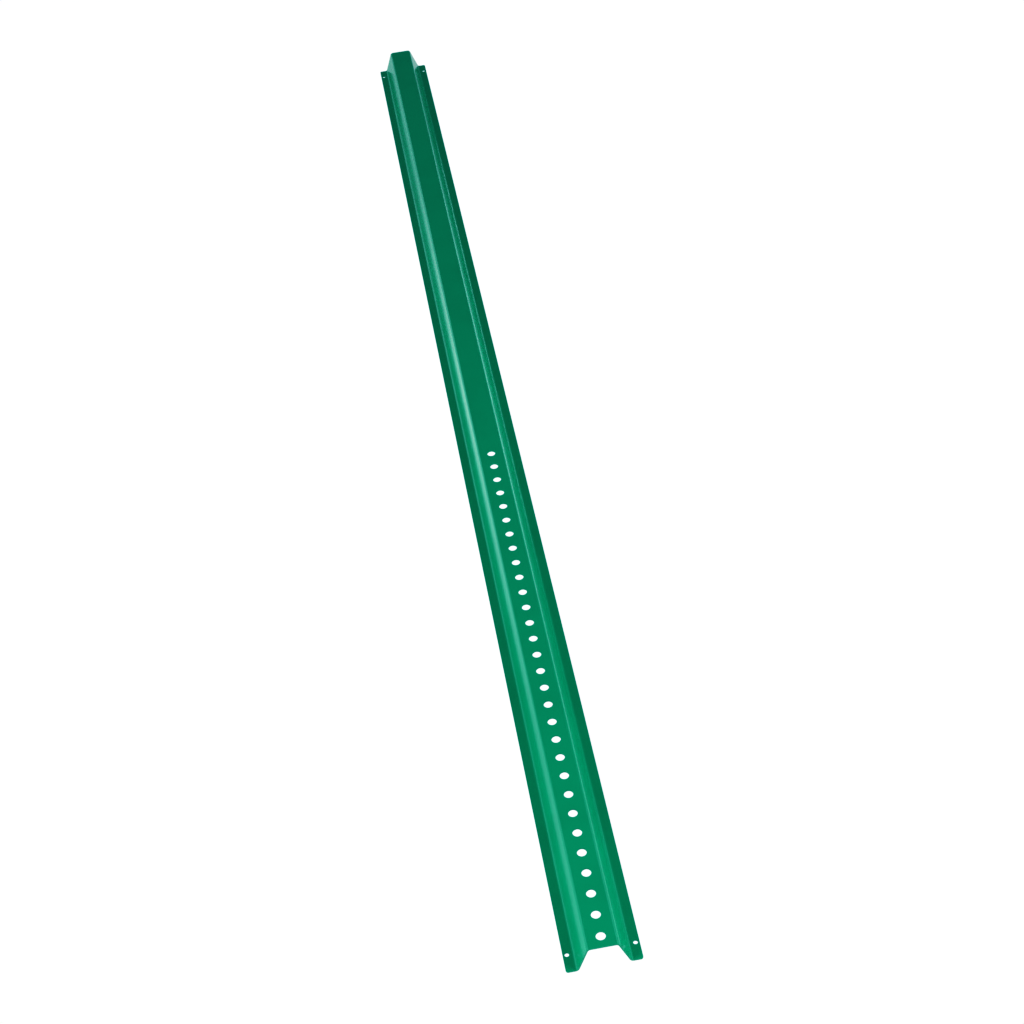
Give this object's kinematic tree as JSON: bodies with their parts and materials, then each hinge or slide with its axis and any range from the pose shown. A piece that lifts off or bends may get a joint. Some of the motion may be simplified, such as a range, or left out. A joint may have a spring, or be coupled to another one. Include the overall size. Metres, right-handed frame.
{
  "type": "delineator post",
  "caption": "Roll-formed steel hat-channel post with a row of bolt holes along one end of its web, for roadside reflectors and small signs.",
  "frame": {"origin": "under the middle of the post, on the plane that the undersides of its flanges rest on", "axes": "+Y along the post from the punched end (-Y, the top end in use) to the plain end (+Y, driven into the ground), +Z from the open side to the outer face of the web, X across the section"},
  "size_m": [0.0776, 1.8288, 0.0333],
  "materials": {
    "green_enamel": "glossy green baked enamel over sheet steel, cut ends and holes painted too"
  },
  "bodies": {
    "root": {"channel_post": "green_enamel"}
  },
  "joints": []
}
